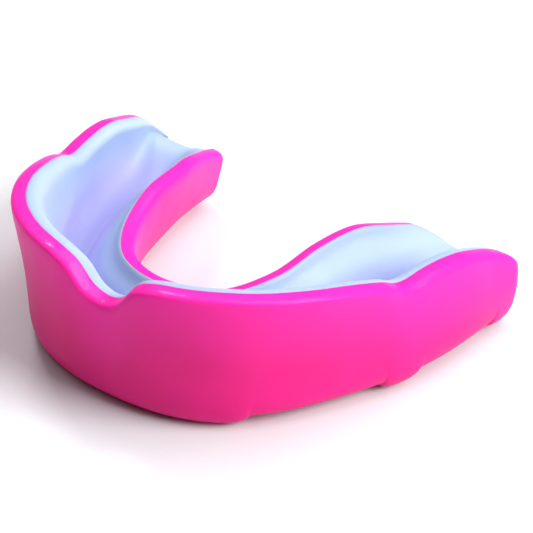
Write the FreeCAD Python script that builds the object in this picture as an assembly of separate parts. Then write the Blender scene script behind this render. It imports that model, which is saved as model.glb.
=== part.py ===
"""Mouthguard for boxing: a tough outer shell with a soft gel liner moulded into it.

The guard is a U-shaped channel that opens upwards, over the upper teeth. Its section
changes along the arch, from the middle of the front to the end of each arm. Both
pieces are skinned through the same sections and share one seam face, so the liner
fills the shell exactly. Five low bite pads under the floor carry the guard.

Axes: +Z up, -Y towards the lips, and the guard is symmetric about X = 0. The origin
is under the middle of the guard, on the plane that the bite pads stand on.
"""
import FreeCAD
import Part
import math
import os

Vector = FreeCAD.Vector

# ---- Arch: centre line of the channel from above, its front at y = 0 -----------------
ARCH_HALF_WIDTH = 24.0      # middle plane to the centre line at the rear ends
ARCH_DEPTH = 42.9           # front of the centre line to the rear ends
FRONT_HALF_WIDTH = 9.5      # half of the stretch that faces the lips
CANINE_X = 18.5             # where the front bends into the arms
CANINE_Y = 10.7
MOLAR_X = 24.6              # where the arms straighten
MOLAR_Y = 30.3

# ---- Walls, rims, ends and pads ------------------------------------------------------
SHELL_WALL = 2.2            # shell, at the rim and down both walls
LINER_WALL = 2.0            # liner, at the cheek rim
LINER_TAPER = 0.7           # how much thinner the liner's cheek wall is at its foot
LINER_EDGE = 0.8            # liner, at the tongue rim
LINER_SLOPE = 6.0           # how much thicker its tongue wall grows over its height
SHELL_FLOOR = 2.2           # shell, under the liner
LINER_FLOOR = 2.1           # liner, under the teeth
RIM_DROP = 1.1              # height over which the seam turns down from the rim
CHEEK_RIM = 1.1             # height over which the shell's cheek rim rounds off
CHEEK_RIM_FALL = 0.17       # how far that rim has fallen by its outer edge
TONGUE_RIM = 1.9            # the same two at its tongue rim, which rolls over further
TONGUE_RIM_FALL = 0.45
CHEEK_ROUND = 1.8           # height over which the liner's cheek rim rounds off
CHEEK_FALL = 0.54           # how far the liner's cheek rim has fallen by its inner edge
TONGUE_ROUND = 2.4          # the same two at the liner's tongue rim
TONGUE_FALL = 1.2
CHEEK_CORNER = 2.8          # rounding under the cheek wall
TONGUE_CORNER = 4.1         # rounding under the tongue wall
SEAM_CORNER = 2.4           # rounding between shell and liner at the floor
CHANNEL_CORNER = 3.2        # rounding at the foot of the channel
END_ROUND = 3.1             # length over which each arm's cheek side narrows to its end
END_CUT = 0.88              # share of a quarter ellipse that the narrowing follows
END_FLATTEN = 0.5           # how much lower the end gets for each share it narrows
TONGUE_END_ROUND = 3.6      # the same three on the tongue side
TONGUE_END_CUT = 0.88
TONGUE_END_FLATTEN = 0.8
SIDE_BLEND = 8.0            # width across the channel over which the two sides blend
PAD_HEIGHT = 1.0            # bite pads below the floor
PAD_CHEEK_INSET = 0.4       # pad's side in from the cheek wall, so nearly flush
PAD_TONGUE_INSET = 4.6      # pad's side in from the tongue wall
PAD_CORNER = 2.3            # rounding of the pad's outline
PAD_CORNER_SHARE = 0.4      # most of a pad's shortest side that one corner may take
PAD_EDGE = 2.0              # rounding of the pad's lower edge
PAD_EDGE_SHARE = 0.87       # most of the corner's radius that the lower edge may take
PAD_ROOT = 1.9              # how far the pad's own block reaches up into the floor

# ---- Profiles along one half: (position, value), 0 = middle of the front, 1 = rear ---
HALF_WIDTH = [(0, 6.0), (0.2, 6.4), (0.4, 6.7), (0.7, 7.5), (1, 7.5)]
CHEEK_HEIGHT = [
    (0, 14.2), (0.035, 15.1), (0.07, 18.3), (0.12, 19.3), (0.2, 19.4), (0.3, 18.8),
    (0.42, 17.5), (0.5, 16.3), (0.55, 15.3), (0.59, 14.2), (0.62, 14.1), (0.66, 14.3),
    (0.7, 14.3), (0.77, 13.9), (0.85, 12.5), (0.93, 10.5), (1, 7.2)]
TONGUE_HEIGHT = [
    (0, 11.6), (0.2, 11.5), (0.4, 12.3), (0.55, 13.5), (0.7, 13.1), (0.85, 11.0), (1, 8.1)]
CHEEK_LEAN = [(0, 0.8), (0.1, 2.0), (0.2, 2.0), (0.35, 1.6), (0.5, 0.5), (0.6, -0.4),
              (0.7, -1.0), (0.85, -0.8), (1, 1.2)]
TONGUE_LEAN = [(0, 0.6), (0.2, 1.1), (0.4, 1.7), (0.7, 3.4), (1, 1.7)]
CHEEK_BULGE = [(0, 0), (0.35, -0.8), (0.7, 0.7), (1, 0.6)]
CHANNEL_FILL = [(0, 0), (0.83, 0), (1, 0.8)]    # share of the channel's depth filled up

# ---- Where the sections and the pads lie along one half ------------------------------
STATIONS = [0.0175, 0.035, 0.05, 0.07, 0.09, 0.12, 0.16, 0.2, 0.25, 0.3, 0.36, 0.42, 0.46,
            0.5, 0.53, 0.56, 0.59, 0.62, 0.66, 0.7, 0.74, 0.78, 0.82, 0.86, 0.89, 0.92]
END_STEPS = [1.0, 0.7, 0.4, 0.2, 0.0]   # sections in the rounded end, in END_ROUNDs
FRONT_PAD = (-0.26, 0.26)
SIDE_PADS = [(0.55, 0.645), (0.89, 0.98)]


def profile(points, position):
    """Value at a position on a smooth curve through the points, without overshoot."""
    last = len(points) - 2
    i = 0
    while i < last and position > points[i + 1][0]:
        i += 1
    rise = [(b[1] - a[1]) / (b[0] - a[0]) for a, b in zip(points, points[1:])]

    def slope(k):
        """Slope at point k: flat at the middle of the front and at every turn."""
        if k == 0:
            return 0.0
        if k == len(points) - 1:
            return rise[-1]
        before, after = rise[k - 1], rise[k]
        if before * after <= 0:
            return 0.0
        return 2 * before * after / (before + after)

    (x0, v0), (x1, v1) = points[i], points[i + 1]
    step = x1 - x0
    t = (position - x0) / step
    start = (1 + 2 * t) * (1 - t) ** 2 * v0 + t * (1 - t) ** 2 * step * slope(i)
    end = t * t * (3 - 2 * t) * v1 - t * t * (1 - t) * step * slope(i + 1)
    return start + end


def arch_curve():
    """Centre line of the channel from the left rear end round the front to the right."""
    half = [(ARCH_HALF_WIDTH, ARCH_DEPTH), (MOLAR_X, MOLAR_Y), (CANINE_X, CANINE_Y),
            (FRONT_HALF_WIDTH, 0)]
    left = [Vector(-x, y, 0) for x, y in half]
    right = [Vector(x, y, 0) for x, y in reversed(half)]
    curve = Part.BSplineCurve()
    curve.buildFromPoles(left + right, False, 3)
    return curve


ARCH = arch_curve()
HALF_LENGTH = ARCH.length() / 2


def arch_point(position):
    """Point on the centre line and outward direction; position runs from -1 to 1."""
    at = ARCH.parameterAtDistance(HALF_LENGTH * (1 + position), ARCH.FirstParameter)
    along = ARCH.tangent(at)[0]
    return ARCH.value(at), Vector(along.y, -along.x, 0)


def quarter_ellipse(share, cut):
    """Narrowing near an end: 1 from the share 1 on, and least at the share 0."""
    return math.sqrt(1 - (cut * (1 - min(1, share))) ** 2)


class Section:
    """Sizes of the channel's cross-section at one position along the arch."""

    def __init__(self, position):
        side = abs(position)
        self.centre, self.outward = arch_point(position)
        self.half_width = profile(HALF_WIDTH, side)
        self.cheek_height = profile(CHEEK_HEIGHT, side)
        self.tongue_height = profile(TONGUE_HEIGHT, side)
        self.cheek_lean = profile(CHEEK_LEAN, side)
        self.tongue_lean = profile(TONGUE_LEAN, side)
        self.bulge = profile(CHEEK_BULGE, side)
        self.fill = profile(CHANNEL_FILL, side)
        to_end = (1 - side) * HALF_LENGTH
        self.cheek_end = quarter_ellipse(to_end / END_ROUND, END_CUT)
        self.tongue_end = quarter_ellipse(to_end / TONGUE_END_ROUND, TONGUE_END_CUT)

    def cheek(self, depth, height):
        """Distance out to a face that lies some depth inside the cheek side."""
        share = height / self.cheek_height
        belly = 4 * self.bulge * share * (1 - share)
        return self.half_width + self.cheek_lean * share + belly - depth

    def tongue(self, depth, height):
        """The same on the tongue side, where distances are negative."""
        share = height / self.tongue_height
        return depth - self.half_width - self.tongue_lean * share

    def narrowing(self, across):
        """Shares of the full width and height near the ends, at a distance across."""
        t = min(1, max(0, 0.5 + across / SIDE_BLEND))
        cheek = t * t * (3 - 2 * t)
        wide = self.tongue_end + (self.cheek_end - self.tongue_end) * cheek
        flatten = TONGUE_END_FLATTEN + (END_FLATTEN - TONGUE_END_FLATTEN) * cheek
        return wide, 1 - flatten * (1 - wide)

    def place(self, across, height):
        """Point of the guard for a distance across the channel and a height."""
        middle = self.cheek_height / 2
        wide, high = self.narrowing(across)
        height = middle + (height - middle) * high
        point = self.centre + self.outward * across * wide
        return point + Vector(0, 0, PAD_HEIGHT + height)


def wall_side(face, top, foot, depth, floor, corner):
    """Control points down one wall to the floor, for a face at a depth in the wall.

    face gives the distance across for a depth and a height, top is where the straight
    wall starts and foot is 1 on the cheek side and -1 on the tongue side.
    """
    rise = min(1.2 * corner, 0.42 * (top - floor))
    base = face(depth, floor)
    reach = min(corner, 0.6 * abs(base))
    return [
        (face(depth, top), top),
        (face(depth, (top + floor) / 2 + 0.6 * rise), (top + floor) / 2 + 0.6 * rise),
        (face(depth, floor + 1.5 * rise), floor + 1.5 * rise),
        (face(depth, floor + 0.5 * rise), floor + 0.5 * rise),
        (base - foot * 0.55 * reach, floor),
        (base - foot * 1.5 * reach, floor)]


def rim(face, height, depth, fall):
    """Control points from the seam on top of the rim round to one face of the wall."""
    seam = face(SHELL_WALL, height)
    edge = face(depth, height)
    run = edge - seam
    return [(seam, height), (seam + 0.45 * run, height), (edge - 0.1 * run, height - fall)]


def outer_outline(s):
    """The shell's outside: rim seam, cheek wall, floor, tongue wall, rim seam."""
    cheek_top = s.cheek_height - CHEEK_RIM
    tongue_top = s.tongue_height - TONGUE_RIM
    down = rim(s.cheek, s.cheek_height, 0, CHEEK_RIM_FALL)
    down += wall_side(s.cheek, cheek_top, 1, 0, 0, CHEEK_CORNER)
    up = rim(s.tongue, s.tongue_height, 0, TONGUE_RIM_FALL)
    up += wall_side(s.tongue, tongue_top, -1, 0, 0, TONGUE_CORNER)
    return down + up[::-1]


def seam_outline(s):
    """The face that shell and liner share."""
    cheek_top = s.cheek_height - RIM_DROP
    tongue_top = s.tongue_height - RIM_DROP
    down = [(s.cheek(SHELL_WALL, s.cheek_height), s.cheek_height)]
    down += wall_side(s.cheek, cheek_top, 1, SHELL_WALL, SHELL_FLOOR, SEAM_CORNER)
    up = [(s.tongue(SHELL_WALL, s.tongue_height), s.tongue_height)]
    up += wall_side(s.tongue, tongue_top, -1, SHELL_WALL, SHELL_FLOOR, SEAM_CORNER)
    return down + up[::-1]


def tapered(face, rim_height, taper):
    """The face of a wall that loses the taper in thickness over its whole height."""
    def at(depth, height):
        return face(depth - taper * (1 - height / rim_height), height)
    return at


def filled(s, outline):
    """The outline raised towards the straight line from the cheek rim to the tongue rim."""
    cheek = s.cheek(SHELL_WALL, s.cheek_height)
    tongue = s.tongue(SHELL_WALL, s.tongue_height)
    raised = []
    for across, height in outline:
        share = (across - tongue) / (cheek - tongue)
        top = s.tongue_height + (s.cheek_height - s.tongue_height) * share
        raised.append((across, height + s.fill * (top - height)))
    return raised


def channel_outline(s):
    """The liner's open face, where the teeth go, which runs out towards the rear."""
    floor = SHELL_FLOOR + LINER_FLOOR
    cheek = tapered(s.cheek, s.cheek_height, LINER_TAPER)
    wall = SHELL_WALL + LINER_WALL
    top = s.cheek_height - CHEEK_ROUND
    down = rim(cheek, s.cheek_height, wall, CHEEK_FALL)
    down += wall_side(cheek, top, 1, wall, floor, CHANNEL_CORNER)
    tongue = tapered(s.tongue, s.tongue_height, -LINER_SLOPE)
    wall = SHELL_WALL + LINER_EDGE
    top = s.tongue_height - TONGUE_ROUND
    up = rim(tongue, s.tongue_height, wall, TONGUE_FALL)
    up += wall_side(tongue, top, -1, wall, floor, CHANNEL_CORNER)
    return filled(s, down + up[::-1])


def arch_positions():
    """Positions of all the sections, from -1 at the left end to 1 at the right."""
    ends = [1 - END_ROUND * step / HALF_LENGTH for step in END_STEPS]
    right = STATIONS + ends
    return [-p for p in reversed(right)] + [0.0] + right


def skin(outline, sections, positions):
    """Smooth surface through the outlines of all the sections."""
    rows = zip(*[[s.place(*point) for point in outline(s)] for s in sections])
    curves = []
    for row in rows:
        curve = Part.BSplineCurve()
        curve.interpolate(Points=list(row), Parameters=positions)
        curves.append(curve)
    across = Part.BSplineCurve()
    across.buildFromPoles([Vector(i, 0, 0) for i in range(len(curves))], False, 3)
    along = curves[0]
    surface = Part.BSplineSurface()
    surface.buildFromPolesMultsKnots(
        [curve.getPoles() for curve in curves], across.getMultiplicities(),
        along.getMultiplicities(), across.getKnots(), along.getKnots(), False, False, 3, 3)
    return surface


def end_cap(first, second, at):
    """Flat face at one end of the arch, between two surfaces that meet at their rims."""
    edges = [surface.vIso(at).toShape() for surface in (first, second)]
    return Part.Face(Part.Wire(Part.__sortEdges__(edges)))


def closed_solid(first, second, positions):
    """Solid between two surfaces and the flat faces at both ends of the arch."""
    faces = [first.toShape(), second.toShape()]
    faces += [end_cap(first, second, at) for at in (positions[0], positions[-1])]
    shell = Part.Shell(faces)
    shell.sewShape()
    solid = Part.Solid(shell)
    solid.fix(1e-4, 1e-4, 1e-4)
    if solid.Volume < 0:
        solid.reverse()
    return solid


def pad_edge_curve(start, end, side):
    """One long edge of a pad, kept at its inset from the cheek or the tongue side."""
    points = []
    steps = 8
    for i in range(steps + 1):
        position = start + (end - start) * i / steps
        s = Section(position)
        across = s.cheek(PAD_CHEEK_INSET, 0)
        if side < 0:
            across = s.tongue(PAD_TONGUE_INSET, 0)
        points.append(s.centre + s.outward * across * s.narrowing(across)[0])
    curve = Part.BSplineCurve()
    curve.interpolate(points)
    return curve.toShape()


def pad(start, end):
    """Low flat pad under the floor between two positions along the arch."""
    cheek_edge = pad_edge_curve(start, end, 1)
    tongue_edge = pad_edge_curve(start, end, -1)
    ends = [Part.makeLine(cheek_edge.Vertexes[i].Point, tongue_edge.Vertexes[i].Point)
            for i in (0, 1)]
    outline = Part.Wire(Part.__sortEdges__([cheek_edge, ends[1], tongue_edge, ends[0]]))
    corner = min(PAD_CORNER, PAD_CORNER_SHARE * min(e.Length for e in outline.Edges))
    rounding = min(PAD_EDGE, PAD_EDGE_SHARE * corner)
    block = Part.Face(outline).extrude(Vector(0, 0, PAD_HEIGHT + PAD_ROOT))
    uprights = [e for e in block.Edges if abs(e.tangentAt(e.FirstParameter).z) > 0.9]
    block = block.makeFillet(corner, uprights)
    lower = [e for e in block.Edges if e.BoundBox.ZMax < rounding / 2]
    return block.makeFillet(rounding, lower)


def outer_shell(outer, seam, positions):
    """Tough shell with the five bite pads moulded on."""
    body = closed_solid(outer, seam, positions)
    spans = [FRONT_PAD]
    for near, far in SIDE_PADS:
        spans += [(near, far), (-far, -near)]
    return body.fuse([pad(start, end) for start, end in spans]).removeSplitter()


def main():
    positions = arch_positions()
    sections = [Section(position) for position in positions]
    outer = skin(outer_outline, sections, positions)
    seam = skin(seam_outline, sections, positions)
    channel = skin(channel_outline, sections, positions)
    pieces = {
        "outer_shell": outer_shell(outer, seam, positions),
        "gel_liner": closed_solid(seam, channel, positions)}
    box = pieces["outer_shell"].optimalBoundingBox()
    to_middle = Vector(0, -(box.YMin + box.YMax) / 2, 0)
    os.makedirs("parts", exist_ok=True)
    for name, shape in pieces.items():
        shape.translate(to_middle)
        shape.exportStep("parts/" + name + ".step")


main()
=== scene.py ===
"""Two-colour mouthguard: a glossy pink shell with a soft white gel liner, on a pale floor.

Both pieces are skins over one family of cross-sections that runs along the arch of the
teeth. Each face of a section is a smooth curve: down the cheek wall, across the floor
and up the tongue wall. The shell lies between the outer face and the seam face, and the
liner between the seam face and the channel face, so the two meet exactly.
"""

import math

import bpy
import numpy as np
from mathutils import Matrix, Vector


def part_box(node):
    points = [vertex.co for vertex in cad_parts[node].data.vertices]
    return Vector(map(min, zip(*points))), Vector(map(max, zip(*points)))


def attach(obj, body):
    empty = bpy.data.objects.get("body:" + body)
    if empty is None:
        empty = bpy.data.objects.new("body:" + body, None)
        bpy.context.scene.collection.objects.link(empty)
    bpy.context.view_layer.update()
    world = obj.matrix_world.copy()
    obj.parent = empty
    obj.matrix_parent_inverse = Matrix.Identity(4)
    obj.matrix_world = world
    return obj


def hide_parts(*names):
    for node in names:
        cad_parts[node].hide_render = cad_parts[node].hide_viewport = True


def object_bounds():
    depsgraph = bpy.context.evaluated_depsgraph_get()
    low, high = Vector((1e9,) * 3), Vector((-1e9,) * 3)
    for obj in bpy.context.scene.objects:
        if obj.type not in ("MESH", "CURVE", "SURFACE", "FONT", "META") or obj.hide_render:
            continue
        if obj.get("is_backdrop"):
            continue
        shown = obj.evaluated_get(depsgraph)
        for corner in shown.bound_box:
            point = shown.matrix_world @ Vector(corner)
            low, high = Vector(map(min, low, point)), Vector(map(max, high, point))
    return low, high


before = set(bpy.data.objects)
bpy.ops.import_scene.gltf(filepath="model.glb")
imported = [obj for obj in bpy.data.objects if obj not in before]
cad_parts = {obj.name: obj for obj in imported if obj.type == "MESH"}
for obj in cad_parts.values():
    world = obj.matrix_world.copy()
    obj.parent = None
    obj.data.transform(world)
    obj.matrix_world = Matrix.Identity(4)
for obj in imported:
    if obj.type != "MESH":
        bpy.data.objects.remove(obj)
CAD_LOW, CAD_HIGH = (np.array(corner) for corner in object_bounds())
SHELL_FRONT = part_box("outer_shell")[0][1]       # least y of the CAD's shell, in metres
MM = 0.001

# ---- Arch: centre line of the channel from above, its front at y = 0, in mm ----------
ARCH_POLES = [(9.5, 0.0), (18.5, 10.7), (24.6, 30.3), (24.0, 42.9)]

# ---- Walls and floor, in mm ----------------------------------------------------------
SHELL_WALL = 2.2
LINER_WALL = 2.0            # at the cheek rim
LINER_TAPER = 0.7           # how much thinner the liner's cheek wall is at its foot
LINER_EDGE = 0.8            # at the tongue rim
LINER_SLOPE = 6.0           # how much thicker the liner's tongue wall is at its foot
SHELL_FLOOR = 2.2
LINER_FLOOR = 2.1

# ---- Rims: height of the rounding, and how far it falls away from the seam, in mm ----
RIM_DROP = 1.1                                  # seam, which doesn't fall
CHEEK_RIM, CHEEK_RIM_FALL = 1.1, 0.17           # shell
TONGUE_RIM, TONGUE_RIM_FALL = 1.9, 0.45
CHEEK_ROUND, CHEEK_FALL = 1.8, 0.54             # liner
TONGUE_ROUND, TONGUE_FALL = 2.4, 1.2

# ---- Corners between walls and floor, in mm ------------------------------------------
CHEEK_CORNER = 2.8
TONGUE_CORNER = 4.1
SEAM_CORNER = 2.4
CHANNEL_CORNER = 3.2

# ---- Rear ends -----------------------------------------------------------------------
# On each side: the length in mm over which the end narrows, how much of a quarter
# ellipse it follows (1 would close it) and the share of that which the height takes.
END_ROUND, END_CUT, END_FLATTEN = 3.1, 0.88, 0.5
TONGUE_END_ROUND, TONGUE_END_CUT, TONGUE_END_FLATTEN = 3.6, 0.88, 0.8
SIDE_BLEND = 8.0            # mm across over which one side's rounding becomes the other's
END_EDGE = 1.4              # mm over which the outer and channel faces close on the seam

# ---- Bite pads, in mm, and where each starts and ends along the arch -----------------
PAD_HEIGHT = 1.0
PAD_TONGUE_INSET = 4.6      # from the foot of the tongue wall to the pad's slope
PAD_SLOPE = 1.6             # width of the slope on the tongue side
PAD_END = 2.2               # length over which a pad's end rounds off
PADS = [(-0.26, 0.26), (0.55, 0.645), (-0.645, -0.55), (0.89, 0.98), (-0.98, -0.89)]

# ---- Profiles along one half: (position, value), 0 = middle of the front, 1 = rear ---
HALF_WIDTH = [(0, 6.0), (0.2, 6.4), (0.4, 6.7), (0.7, 7.5), (1, 7.5)]
CHEEK_HEIGHT = [
    (0, 14.2), (0.035, 15.1), (0.07, 18.3), (0.12, 19.3), (0.2, 19.4), (0.3, 18.8),
    (0.42, 17.5), (0.5, 16.3), (0.55, 15.3), (0.59, 14.2), (0.62, 14.1), (0.66, 14.3),
    (0.7, 14.3), (0.77, 13.9), (0.85, 12.5), (0.93, 10.5), (1, 7.2)]
TONGUE_HEIGHT = [
    (0, 11.6), (0.2, 11.5), (0.4, 12.3), (0.55, 13.5), (0.7, 13.1), (0.85, 11.0), (1, 8.1)]
CHEEK_LEAN = [(0, 0.8), (0.1, 2.0), (0.2, 2.0), (0.35, 1.6), (0.5, 0.5), (0.6, -0.4),
              (0.7, -1.0), (0.85, -0.8), (1, 1.2)]
TONGUE_LEAN = [(0, 0.6), (0.2, 1.1), (0.4, 1.7), (0.7, 3.4), (1, 1.7)]
CHEEK_BULGE = [(0, 0), (0.35, -0.8), (0.7, 0.7), (1, 0.6)]
CHANNEL_FILL = [(0, 0), (0.83, 0), (1, 0.8)]    # share of the depth that is filled in
SOFTEN = 0.5                # mm along the arch over which the profiles are evened out
FINE = 2000                 # samples of one half of the arch, from which values are read

# ---- Poles of a section's curve ------------------------------------------------------
SECTION_POLES = 18
RIM_NEAR, RIM_FAR = 0.45, 0.9       # places on the rim, as shares from seam to wall
BEND_NEAR, BEND_FAR = 0.5, 1.5      # places up the wall, in heights of the corner's bend
FLOOR_NEAR, FLOOR_FAR = 0.55, 1.5   # places on the floor, in widths of the bend
BEND_RISE, BEND_MOST = 1.2, 0.42    # height of the bend in corners, and its most in walls
BEND_WIDTH_MOST = 0.6       # most width of the bend, as a share of the half width
MIDDLE_RAISE = 0.6          # how far the wall's middle pole is raised, in heights of the bend

# ---- Grids: steps, and the places from 0 to 1 round which they crowd -----------------
ARCH_STEPS, SECTION_STEPS = 320, 150
ARCH_ENDS, LIP_NOTCH = [0, 0.04, 0.96, 1], [0.5, 0.48, 0.52]
SHELL_RIMS_AND_CORNERS = [0, 0.06, 0.36, 0.64, 0.94, 1]
LINER_RIMS = [0, 0.06, 0.94, 1]
ARCH_CROWDING = (4.0, 0.006)        # strength and width
SECTION_CROWDING = (2.0, 0.03)
FRONT_REACH, FRONT_STEPS = 0.2, (201, 200)      # where the shell's front is looked for


# ---- Curves --------------------------------------------------------------------------

def spline_weights(poles, at):
    """Weights of each pole of a clamped uniform cubic B-spline at parameters 0 to 1.

    Cox and de Boor's recursion, as whole arrays: weights of degree k are blends of two
    neighbouring weights of degree k - 1, starting from 1 inside one knot span.
    """
    knots = np.concatenate([np.zeros(3), np.linspace(0, 1, poles - 2), np.ones(3)])
    inside_last_span = 1 - 1e-12
    at = np.clip(np.asarray(at, float), 0, inside_last_span)[:, None]
    weights = ((knots[:-1] <= at) & (at < knots[1:])).astype(float)
    for k in (1, 2, 3):
        rise = knots[k:-1] - knots[:-k - 1]
        fall = knots[k + 1:] - knots[1:-k]
        up = (at - knots[:-k - 1]) / np.where(rise > 0, rise, 1)
        down = (knots[k + 1:] - at) / np.where(fall > 0, fall, 1)
        weights = up * weights[:, :-1] * (rise > 0) + down * weights[:, 1:] * (fall > 0)
    return weights


def curve_points(weights, poles):
    """Points on every section's curve: its poles, each times its weight, added up."""
    return np.einsum("vm,umc->uvc", weights, poles)


class Arch:
    """Centre line of the channel, by arc length from -1 at the left to 1 at the right."""

    def __init__(self):
        poles = np.array([(-x, y) for x, y in ARCH_POLES[::-1]] + ARCH_POLES)
        self.line = spline_weights(len(poles), np.linspace(0, 1, 2 * FINE + 1)) @ poles
        steps = np.linalg.norm(np.diff(self.line, axis=0), axis=1)
        run = np.concatenate([[0], np.cumsum(steps)])
        self.half_length = run[-1] / 2
        self.run = run / self.half_length - 1
        self.slope = np.gradient(self.line, self.run, axis=0)

    def read(self, table, position):
        """Values of a table of pairs along the centre line, read at positions."""
        return np.stack([np.interp(position, self.run, table[:, i]) for i in (0, 1)], 1)

    def at(self, position):
        """Points and outward directions, which are the line's own turned to its right."""
        along = self.read(self.slope, position)
        along /= np.linalg.norm(along, axis=1)[:, None]
        return self.read(self.line, position), np.stack([along[:, 1], -along[:, 0]], 1)


ARCH = Arch()


def profile(points, position):
    """Values of a profile at positions from -1 to 1, the same on both halves.

    A cubic through the points with harmonic-mean slopes, so it never overshoots, which
    is then averaged with a bell-shaped window of width SOFTEN, cut off at four widths.
    """
    knot, value = np.array(points, float).T
    rise = np.diff(value) / np.diff(knot)
    before, after = rise[:-1], rise[1:]
    mean = 2 * before * after / np.where(before * after > 0, before + after, 1)
    slope = np.concatenate([[0], np.where(before * after > 0, mean, 0), rise[-1:]])
    fine = np.linspace(0, 1, FINE + 1)
    i = np.clip(np.searchsorted(knot, fine) - 1, 0, len(rise) - 1)
    step = knot[i + 1] - knot[i]
    t = (fine - knot[i]) / step
    curve = (1 + 2 * t) * (1 - t) ** 2 * value[i] + t * (1 - t) ** 2 * step * slope[i]
    curve += t * t * (3 - 2 * t) * value[i + 1] - t * t * (1 - t) * step * slope[i + 1]
    both_halves = np.concatenate([curve[:0:-1], curve])
    width = SOFTEN / ARCH.half_length * FINE
    reach = int(4 * width)
    window = np.exp(-0.5 * (np.arange(-reach, reach + 1) / width) ** 2)
    padded = np.pad(both_halves, reach, mode="reflect", reflect_type="odd")
    smooth = np.convolve(padded, window / window.sum(), mode="valid")
    return np.interp(position, np.linspace(-1, 1, 2 * FINE + 1), smooth)


def spread(count, crowded, strength, width):
    """Sorted parameters from 0 to 1 that crowd round the given places.

    The density is 1 plus a bell curve of that strength and width at each place.
    """
    fine = np.linspace(0, 1, 4 * FINE + 1)
    density = np.ones_like(fine)
    for place in crowded:
        density += strength * np.exp(-0.5 * ((fine - place) / width) ** 2)
    total = np.concatenate([[0], np.cumsum((density[1:] + density[:-1]) / 2)])
    return np.interp(np.linspace(0, total[-1], count), total, fine)


def arch_positions():
    """Positions along the arch, closest at the ends, the notch and the pads' ends."""
    pad_ends = [(1 + end) / 2 for pad in PADS for end in pad]
    return 2 * spread(ARCH_STEPS, ARCH_ENDS + pad_ends + LIP_NOTCH, *ARCH_CROWDING) - 1


def section_weights(crowded):
    """Weights of a section's poles at steps that crowd round the given places."""
    return spline_weights(SECTION_POLES, spread(SECTION_STEPS, crowded, *SECTION_CROWDING))


def quarter_ellipse(share, cut):
    """Narrowing near an end: 1 from the share 1 on, and least at the share 0.

    The square root of 1 less the square of the rest of the share, times the cut.
    """
    return np.sqrt(1 - (cut * (1 - np.minimum(1, share))) ** 2)


def smooth_step(value):
    """0 below 0, 1 above 1 and a smooth S between, of the fifth degree."""
    t = np.clip(value, 0, 1)
    return t * t * t * (10 - 15 * t + 6 * t * t)


# ---- Sections ------------------------------------------------------------------------

# Each face: floor height, then depth, taper, corner, rim height and rim fall on the
# cheek side and on the tongue side.
SEAM_SIDE = (SHELL_WALL, 0, SEAM_CORNER, RIM_DROP, 0)
SEAM_FACE = (SHELL_FLOOR, SEAM_SIDE, SEAM_SIDE)
OUTER_FACE = (
    0,
    (0, 0, CHEEK_CORNER, CHEEK_RIM, CHEEK_RIM_FALL),
    (0, 0, TONGUE_CORNER, TONGUE_RIM, TONGUE_RIM_FALL))
CHANNEL_FACE = (
    SHELL_FLOOR + LINER_FLOOR,
    (SHELL_WALL + LINER_WALL, LINER_TAPER, CHANNEL_CORNER, CHEEK_ROUND, CHEEK_FALL),
    (SHELL_WALL + LINER_EDGE, -LINER_SLOPE, CHANNEL_CORNER, TONGUE_ROUND, TONGUE_FALL))


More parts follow.
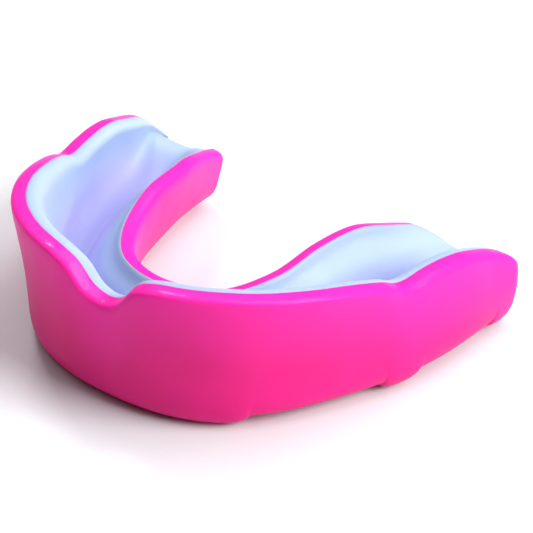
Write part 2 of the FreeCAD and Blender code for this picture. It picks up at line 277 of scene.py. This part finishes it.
class Sections:
    """Sizes of the cross-sections at an array of positions along the arch."""

    def __init__(self, position):
        self.position = position
        self.centre, self.outward = ARCH.at(position)
        self.half_width = profile(HALF_WIDTH, position)
        self.cheek_height = profile(CHEEK_HEIGHT, position)
        self.tongue_height = profile(TONGUE_HEIGHT, position)
        self.cheek_lean = profile(CHEEK_LEAN, position)
        self.tongue_lean = profile(TONGUE_LEAN, position)
        self.bulge = profile(CHEEK_BULGE, position)
        self.fill = profile(CHANNEL_FILL, position)
        to_end = (1 - np.abs(position)) * ARCH.half_length
        self.cheek_end = quarter_ellipse(to_end / END_ROUND, END_CUT)[:, None]
        self.tongue_end = quarter_ellipse(to_end / TONGUE_END_ROUND, TONGUE_END_CUT)[:, None]
        self.closing = 1 - quarter_ellipse(to_end / END_EDGE, 1)

    def cheek(self, depth, height, taper):
        """Distance out to a face some depth inside the cheek wall.

        The half width, plus the lean in proportion to the height, plus the bulge as a
        parabola, less the depth, which the taper lessens towards the foot.
        """
        share = height / self.cheek_height
        belly = 4 * self.bulge * share * (1 - share)
        depth = depth - taper * (1 - share)
        return self.half_width + self.cheek_lean * share + belly - depth

    def tongue(self, depth, height, taper):
        """The same on the tongue side, with no bulge, where distances are negative."""
        share = height / self.tongue_height
        depth = depth - taper * (1 - share)
        return depth - self.half_width - self.tongue_lean * share

    def half_outline(self, wall, rim, side, floor, outward):
        """Nine poles: three across the rim, four down one wall and two on the floor.

        The wall gives the distance across for a depth, height and taper. The poles on
        either side of the corner are set by the height and the width of its bend.
        """
        depth, taper, corner, drop, fall = side
        top = rim - drop
        rise = np.minimum(BEND_RISE * corner, BEND_MOST * (top - floor))
        foot = wall(depth, floor, taper)
        reach = np.minimum(corner, BEND_WIDTH_MOST * np.abs(foot))
        seam = wall(SHELL_WALL, rim, 0)
        run = wall(depth, rim, taper) - seam
        poles = [(seam, rim), (seam + RIM_NEAR * run, rim), (seam + RIM_FAR * run, rim - fall)]
        middle = (top + floor) / 2 + MIDDLE_RAISE * rise
        for height in (top, middle, floor + BEND_FAR * rise, floor + BEND_NEAR * rise):
            poles.append((wall(depth, height, taper), height))
        for place in (FLOOR_NEAR, FLOOR_FAR):
            poles.append((foot - outward * place * reach, floor))
        return poles

    def outline(self, face):
        """Eighteen poles (across, height) of each section's curve on one face."""
        floor, cheek_side, tongue_side = face
        down = self.half_outline(self.cheek, self.cheek_height, cheek_side, floor, 1)
        up = self.half_outline(self.tongue, self.tongue_height, tongue_side, floor, -1)
        poles = [np.stack(np.broadcast_arrays(*pole)) for pole in down + up[::-1]]
        return np.array(poles).transpose(2, 0, 1)

    def closing_outline(self, face):
        """The same for a face whose sizes all become the seam face's at the ends."""
        share = self.closing
        floor = face[0] + (SEAM_FACE[0] - face[0]) * share
        sides = [[size + (at_seam - size) * share for size, at_seam in zip(*pair)]
                 for pair in zip(face[1:], SEAM_FACE[1:])]
        return self.outline((floor, *sides))

    def rim_line(self, across):
        """Height of the straight line from the tongue rim to the cheek rim."""
        cheek = self.cheek(SHELL_WALL, self.cheek_height, 0)[:, None]
        tongue = self.tongue(SHELL_WALL, self.tongue_height, 0)[:, None]
        low, high = self.tongue_height[:, None], self.cheek_height[:, None]
        return low + (high - low) * (across - tongue) / (cheek - tongue)

    def filled(self, poles):
        """The channel's poles, raised towards the line from rim to rim near the ends."""
        fill = (self.fill * (1 - self.closing))[:, None]
        raised = poles[..., 1] + fill * (self.rim_line(poles[..., 0]) - poles[..., 1])
        return np.stack([poles[..., 0], raised], -1)

    def narrowing(self, across):
        """Shares of the full width and height near the ends, at distances across.

        Each side has its own share, and across the middle they blend by a cubic S. The
        height's share is 1 less the flattened part of what the width loses.
        """
        t = np.clip(0.5 + across / SIDE_BLEND, 0, 1)
        cheek = t * t * (3 - 2 * t)
        wide = self.tongue_end + (self.cheek_end - self.tongue_end) * cheek
        flatten = TONGUE_END_FLATTEN + (END_FLATTEN - TONGUE_END_FLATTEN) * cheek
        return wide, 1 - flatten * (1 - wide)

    def place(self, flat):
        """Points, in metres, for (across, height) in each section.

        The distance across is laid off along the outward direction, and the height is
        narrowed about half the cheek's height and then raised by the pads'.
        """
        wide, high = self.narrowing(flat[..., 0])
        across = flat[..., 0] * wide
        middle = self.cheek_height[:, None] / 2
        height = middle + (flat[..., 1] - middle) * high + PAD_HEIGHT
        plan = self.centre[:, None] + self.outward[:, None] * across[..., None]
        return np.concatenate([plan, height[..., None]], 2) * MM

    def below_rims(self, flat):
        """Depth of each point under the straight line from rim to rim, in mm."""
        return self.rim_line(flat[..., 0]) - flat[..., 1]


def pad_drop(sections, flat):
    """Depth of the bite pads below the floor at each point of the outer face, in mm.

    Along the arch each pad starts and ends with a quarter ellipse. On the cheek side
    the wall is drawn down with the pad, so that the two are flush, and less and less
    between one and three corners' height. On the tongue side the pad ends in a smooth
    slope across the floor.
    """
    half = ARCH.half_length
    along = sections.position * half
    run = np.zeros_like(along)
    for start, end in PADS:
        inside = np.minimum(along - start * half, end * half - along)
        away = 1 - np.clip(inside / PAD_END, 0, 1)
        run = np.maximum(run, np.sqrt(1 - away ** 2))
    across = flat[..., 0] * sections.narrowing(flat[..., 0])[0]
    edge = (PAD_TONGUE_INSET - sections.half_width)[:, None] * sections.tongue_end
    beside = smooth_step((across - edge) / PAD_SLOPE)
    above = smooth_step(1 - (flat[..., 1] - CHEEK_CORNER) / (2 * CHEEK_CORNER))
    return PAD_HEIGHT * run[:, None] * beside * above


# ---- Meshes --------------------------------------------------------------------------

def closed_piece(name, first, second, depths):
    """A closed mesh between two grids of points that share all four borders.

    Each grid gives quads between neighbouring points. The second grid's quads turn the
    other way, and its border points are the first grid's. The depths under the rims go
    with the points, as the attribute below_rim.
    """
    rows, columns = first.shape[:2]
    own = np.arange(rows * columns).reshape(rows, columns)
    other = own + rows * columns
    border = np.ones((rows, columns), bool)
    border[1:-1, 1:-1] = False
    other[border] = own[border]

    def quads(index):
        return np.stack([index[:-1, :-1], index[:-1, 1:], index[1:, 1:], index[1:, :-1]],
                        -1).reshape(-1, 4)

    faces = np.concatenate([quads(own), quads(other)[:, ::-1]])
    points = np.concatenate([first.reshape(-1, 3), second.reshape(-1, 3)])
    used, faces = np.unique(faces, return_inverse=True)
    mesh = bpy.data.meshes.new(name)
    mesh.from_pydata(points[used].tolist(), [], faces.reshape(-1, 4).tolist())
    mesh.polygons.foreach_set("use_smooth", np.ones(len(mesh.polygons), bool))
    layer = mesh.attributes.new("below_rim", "FLOAT", "POINT")
    layer.data.foreach_set("value", np.concatenate([d.ravel() for d in depths])[used])
    mesh.update()
    piece = bpy.data.objects.new(name, mesh)
    bpy.context.collection.objects.link(piece)
    return piece


def outer_points(sections, flat):
    """Grid of the shell's outer face, with the bite pads drawn down to the floor."""
    points = sections.place(flat)
    points[..., 2] -= pad_drop(sections, flat) * MM
    return points


def plan_shift():
    """Distance along Y that brings the skin's front onto the front of the CAD's shell."""
    along, round_section = FRONT_STEPS
    sections = Sections(np.linspace(-FRONT_REACH, FRONT_REACH, along))
    weights = spline_weights(SECTION_POLES, np.linspace(0, 1, round_section))
    front = outer_points(sections, curve_points(weights, sections.closing_outline(OUTER_FACE)))
    return SHELL_FRONT - front[..., 1].min()


PLAN_SHIFT = plan_shift()


def place_in_frame(points):
    """Moves points along Y, so that the shell's front lies where the CAD has it."""
    return points + np.array([0, PLAN_SHIFT, 0])


def make_shell():
    """Outer shell: outer face and seam face, closed at the rims and the ends."""
    sections = Sections(arch_positions())
    weights = section_weights(SHELL_RIMS_AND_CORNERS)
    outer = curve_points(weights, sections.closing_outline(OUTER_FACE))
    seam = curve_points(weights, sections.outline(SEAM_FACE))
    return closed_piece("shell_skin", place_in_frame(outer_points(sections, outer)),
                        place_in_frame(sections.place(seam)),
                        [sections.below_rims(outer), sections.below_rims(seam)])


def make_liner():
    """Gel liner: seam face and channel face, closed at the rims and the ends."""
    sections = Sections(arch_positions())
    weights = section_weights(LINER_RIMS)
    seam = curve_points(weights, sections.outline(SEAM_FACE))
    poles = sections.filled(sections.closing_outline(CHANNEL_FACE))
    channel = curve_points(weights, poles)
    return closed_piece("liner_skin", place_in_frame(sections.place(seam)),
                        place_in_frame(sections.place(channel)),
                        [sections.below_rims(seam), sections.below_rims(channel)])


# ---- Finishes ------------------------------------------------------------------------

# Linear colours. Where there are two, the surface is clouded between them.
# Painted shade on the shell: from the paler rim colour its pink darkens to the clouded pair
# lower down, where the walls lie in shade.
PINK_SHADED_LOW = (0.74, 0.013, 0.195, 1), (0.81, 0.017, 0.23, 1)
PINK_LIT_RIM = (0.97, 0.024, 0.39, 1)
GEL_RIM = (0.33, 0.415, 0.60, 1), (0.35, 0.435, 0.62, 1)
# Painted light on the liner: the deep colour is lavender from painted pink bounce light off
# the shell, and brighter to lift the channel's shade.
GEL_PAINTED_GLOW = (0.39, 0.375, 0.68, 1), (0.41, 0.395, 0.70, 1)
PALE_FLOOR = (0.68, 0.69, 0.69, 1), (0.71, 0.72, 0.72, 1)

# The moulded skin's noises: detail and distortion of each.
SKIN_NOISES = {"Grain": (3, 0), "Ripple": (1, 0.6), "Cloud": (4, 0.3)}

# Places of the sockets for colours on a Mix node.
MIX_SHARE, MIX_FIRST, MIX_SECOND, MIX_RESULT = 0, 6, 7, 2


def moulded_rubber_group():
    """Node group for the skin that a polished mould leaves on rubber.

    Grain is the fine bloom of the surface, Ripple the slow unevenness that bends a
    highlight, and Cloud the uneven colour of the mix, all from 0 to 1. The inputs are
    how many of each fit in a metre.
    """
    group = bpy.data.node_groups.new("moulded_rubber", "ShaderNodeTree")

    def socket(name, in_out, kind="NodeSocketFloat"):
        group.interface.new_socket(name=name, in_out=in_out, socket_type=kind)

    socket("Place", "INPUT", "NodeSocketVector")
    for kind in SKIN_NOISES:
        socket(kind + " Scale", "INPUT")
    for kind in SKIN_NOISES:
        socket(kind, "OUTPUT")
    source = group.nodes.new("NodeGroupInput")
    result = group.nodes.new("NodeGroupOutput")
    for kind, (detail, warp) in SKIN_NOISES.items():
        noise = group.nodes.new("ShaderNodeTexNoise")
        noise.inputs["Detail"].default_value = detail
        noise.inputs["Distortion"].default_value = warp
        group.links.new(source.outputs["Place"], noise.inputs["Vector"])
        group.links.new(source.outputs[kind + " Scale"], noise.inputs["Scale"])
        group.links.new(noise.outputs["Fac"], result.inputs[kind])
    return group


MOULDED_RUBBER = moulded_rubber_group()


class Finish:
    """A material under construction: its Principled shader and the moulded skin."""

    def __init__(self, name, grain, ripple, cloud):
        self.material = bpy.data.materials.new(name)
        self.material.use_nodes = True
        self.tree = self.material.node_tree
        self.shader = self.tree.nodes["Principled BSDF"]
        self.skin = self.tree.nodes.new("ShaderNodeGroup")
        self.skin.node_tree = MOULDED_RUBBER
        place = self.tree.nodes.new("ShaderNodeTexCoord")
        self.link(place.outputs["Object"], self.skin.inputs["Place"])
        for kind, scale in (("Grain", grain), ("Ripple", ripple), ("Cloud", cloud)):
            self.skin.inputs[kind + " Scale"].default_value = scale

    def link(self, output, socket):
        """Joins an output to an input."""
        self.tree.links.new(output, socket)

    def settings(self, **values):
        """Sets uniform values on the shader's own sockets, by name with _ for spaces."""
        for name, value in values.items():
            self.shader.inputs[name.replace("_", " ")].default_value = value

    def ramp(self, value, start, end, low=0.0, high=1.0):
        """A value that goes smoothly from low to high as the input goes from start to end."""
        node = self.tree.nodes.new("ShaderNodeMapRange")
        node.interpolation_type = "SMOOTHSTEP"
        self.link(value, node.inputs["Value"])
        limits = {"From Min": start, "From Max": end, "To Min": low, "To Max": high}
        for name, limit in limits.items():
            node.inputs[name].default_value = limit
        return node.outputs["Result"]

    def blend(self, share, first, second):
        """A colour from the first to the second by the share, each given or a socket's."""
        node = self.tree.nodes.new("ShaderNodeMix")
        node.data_type = "RGBA"
        self.link(share, node.inputs[MIX_SHARE])
        for place, colour in ((MIX_FIRST, first), (MIX_SECOND, second)):
            if isinstance(colour, tuple):
                node.inputs[place].default_value = colour
            else:
                self.link(colour, node.inputs[place])
        return node.outputs[MIX_RESULT]

    def below_rim(self):
        """The piece's own depth under its rims, in mm."""
        node = self.tree.nodes.new("ShaderNodeAttribute")
        node.attribute_name = "below_rim"
        return node.outputs["Fac"]

    def bumps(self, grain, ripple):
        """Raises the surface by the ripple and the grain, each of a height in metres."""
        normal = None
        for kind, height in (("Ripple", ripple), ("Grain", grain)):
            bump = self.tree.nodes.new("ShaderNodeBump")
            bump.inputs["Distance"].default_value = height
            self.link(self.skin.outputs[kind], bump.inputs["Height"])
            if normal:
                self.link(normal, bump.inputs["Normal"])
            normal = bump.outputs["Normal"]
        self.link(normal, self.shader.inputs["Normal"])


def shell_material():
    """Glossy pink rubber: clouded colour, paler at the rims and darker lower down by painted
    shade, ripples and a fine bloom.
    """
    finish = Finish("pink_shell", grain=5200, ripple=170, cloud=95)
    cloud = finish.ramp(finish.skin.outputs["Cloud"], start=0.3, end=0.7)
    pink = finish.blend(cloud, *PINK_SHADED_LOW)
    # Painted shade: the share of the paler rim colour falls from 0.8 at the rims to none 13 mm
    # below them, darkening the lower walls.
    edge = finish.ramp(finish.below_rim(), start=0.0, end=13.0, low=0.8, high=0.0)
    finish.link(finish.blend(edge, pink, PINK_LIT_RIM), finish.shader.inputs["Base Color"])
    finish.link(finish.ramp(cloud, 0, 1, low=0.40, high=0.50),
                finish.shader.inputs["Roughness"])
    finish.settings(Specular_IOR_Level=0.07, Coat_Weight=0.12, Coat_Roughness=0.09,
                    Subsurface_Weight=0.25, Subsurface_Radius=(1.0, 0.12, 0.4),
                    Subsurface_Scale=0.002)
    finish.bumps(grain=0.000012, ripple=0.00004)
    return finish.material


def liner_material():
    """Soft gel: blue-white at the rims and lavender down in the channel by painted pink bounce
    light, which also lifts the channel's shade; barely uneven.
    """
    finish = Finish("white_liner", grain=3600, ripple=140, cloud=120)
    cloud = finish.ramp(finish.skin.outputs["Cloud"], start=0.25, end=0.75)
    rim = finish.blend(cloud, *GEL_RIM)
    painted_glow = finish.blend(cloud, *GEL_PAINTED_GLOW)
    # Painted light: from 2.5 to 9 mm under the rims the gel turns to the painted lavender
    # bounce light.
    painted_glow_share = finish.ramp(finish.below_rim(), start=2.5, end=9.0)
    finish.link(finish.blend(painted_glow_share, rim, painted_glow), finish.shader.inputs["Base Color"])
    finish.link(finish.ramp(cloud, 0, 1, low=0.42, high=0.52),
                finish.shader.inputs["Roughness"])
    finish.settings(Specular_IOR_Level=0.3, Subsurface_Weight=0.5,
                    Subsurface_Radius=(1.0, 0.8, 1.0), Subsurface_Scale=0.004)
    finish.bumps(grain=0.000015, ripple=0.00005)
    return finish.material


def floor_material():
    """Plain pale matt floor with a trace of tooth and clouding."""
    finish = Finish("pale_floor", grain=2500, ripple=60, cloud=12)
    cloud = finish.skin.outputs["Cloud"]
    finish.link(finish.blend(cloud, *PALE_FLOOR), finish.shader.inputs["Base Color"])
    finish.link(finish.ramp(cloud, 0, 1, low=0.85, high=0.95),
                finish.shader.inputs["Roughness"])
    finish.bumps(grain=0.00001, ripple=0.00001)
    return finish.material


# ---- Studio --------------------------------------------------------------------------

FLOOR_HALF = 2.0            # half the floor's side, in metres

# Name, azimuth and elevation in degrees, distance and side in metres, watts and colour.
LIGHTS = [
    ("key", 103, 36, 1.2, 0.7, 21.0, (0.96, 0.98, 1.0)),
    ("rear", 150, 66, 0.6, 0.4, 2.5, (0.95, 0.98, 1.0)),
    ("left", -122, 56, 0.6, 0.12, 1.3, (1.0, 0.97, 1.0)),
    ("fill", -50, 70, 0.6, 0.5, 0.8, (0.97, 0.92, 1.0))]
ROOM_COLOUR, ROOM_STRENGTH = (1.0, 0.99, 1.0, 1), 0.06

AZIMUTH, ELEVATION, ROLL = 33.2, 33.0, 2.43     # the camera's, in degrees
DISTANCE = 0.23172                              # metres
AIM = (0.00562, 0.00276, -0.00142)              # metres from the middle of the CAD box
LENS, SENSOR = 120.3, 36.0                      # mm
NEAREST, FARTHEST = 0.01, 10.0                  # metres in which the camera sees


def make_floor():
    """Large flat floor at the height of the pads' undersides."""
    half = FLOOR_HALF
    corners = [(-half, -half), (half, -half), (half, half), (-half, half)]
    mesh = bpy.data.meshes.new("floor")
    mesh.from_pydata([(x, y, CAD_LOW[2]) for x, y in corners], [], [(0, 1, 2, 3)])
    floor = bpy.data.objects.new("floor", mesh)
    bpy.context.collection.objects.link(floor)
    floor.data.materials.append(floor_material())
    floor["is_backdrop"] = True


def direction(azimuth, elevation):
    """Unit vector from the object towards a place at that azimuth and elevation.

    Azimuth turns from -Y towards +X, and elevation rises from the level.
    """
    a, e = math.radians(azimuth), math.radians(elevation)
    return Vector((math.sin(a) * math.cos(e), -math.cos(a) * math.cos(e), math.sin(e)))


def soft_light(name, azimuth, elevation, distance, size, power, colour):
    """Square area light that points at the object's origin."""
    light = bpy.data.lights.new(name, "AREA")
    light.shape = "SQUARE"
    light.size = size
    light.energy = power
    light.color = colour
    lamp = bpy.data.objects.new(name, light)
    bpy.context.collection.objects.link(lamp)
    towards = direction(azimuth, elevation)
    lamp.location = towards * distance
    lamp.rotation_euler = towards.to_track_quat("Z", "Y").to_euler()


def make_lights():
    """Soft key from the right, a light from the rear, two from the left and a dim room."""
    for light in LIGHTS:
        soft_light(*light)
    world = bpy.data.worlds.new("studio")
    world.use_nodes = True
    background = world.node_tree.nodes["Background"]
    background.inputs["Color"].default_value = ROOM_COLOUR
    background.inputs["Strength"].default_value = ROOM_STRENGTH
    bpy.context.scene.world = world
    bpy.context.scene.view_settings.view_transform = "Standard"


def make_camera():
    """Camera at three-quarter view from the front right, a little above."""
    camera = bpy.data.cameras.new("camera")
    camera.lens = LENS
    camera.sensor_width = SENSOR
    camera.clip_start, camera.clip_end = NEAREST, FARTHEST
    eye = bpy.data.objects.new("camera", camera)
    bpy.context.collection.objects.link(eye)
    aim = Vector(((CAD_LOW + CAD_HIGH) / 2).tolist()) + Vector(AIM)
    back = direction(AZIMUTH, ELEVATION)
    turn = back.to_track_quat("Z", "Y").to_matrix()
    turn = turn @ Matrix.Rotation(math.radians(ROLL), 3, "Z")
    eye.rotation_mode = "QUATERNION"
    eye.rotation_quaternion = turn.to_quaternion()
    eye.location = aim + back * DISTANCE
    bpy.context.scene.camera = eye


# ---- The object ----------------------------------------------------------------------

shell = make_shell()
shell.data.materials.append(shell_material())
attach(shell, "root")
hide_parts("outer_shell")
liner = make_liner()
liner.data.materials.append(liner_material())
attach(liner, "root")
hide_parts("gel_liner")
make_floor()
make_lights()
make_camera()
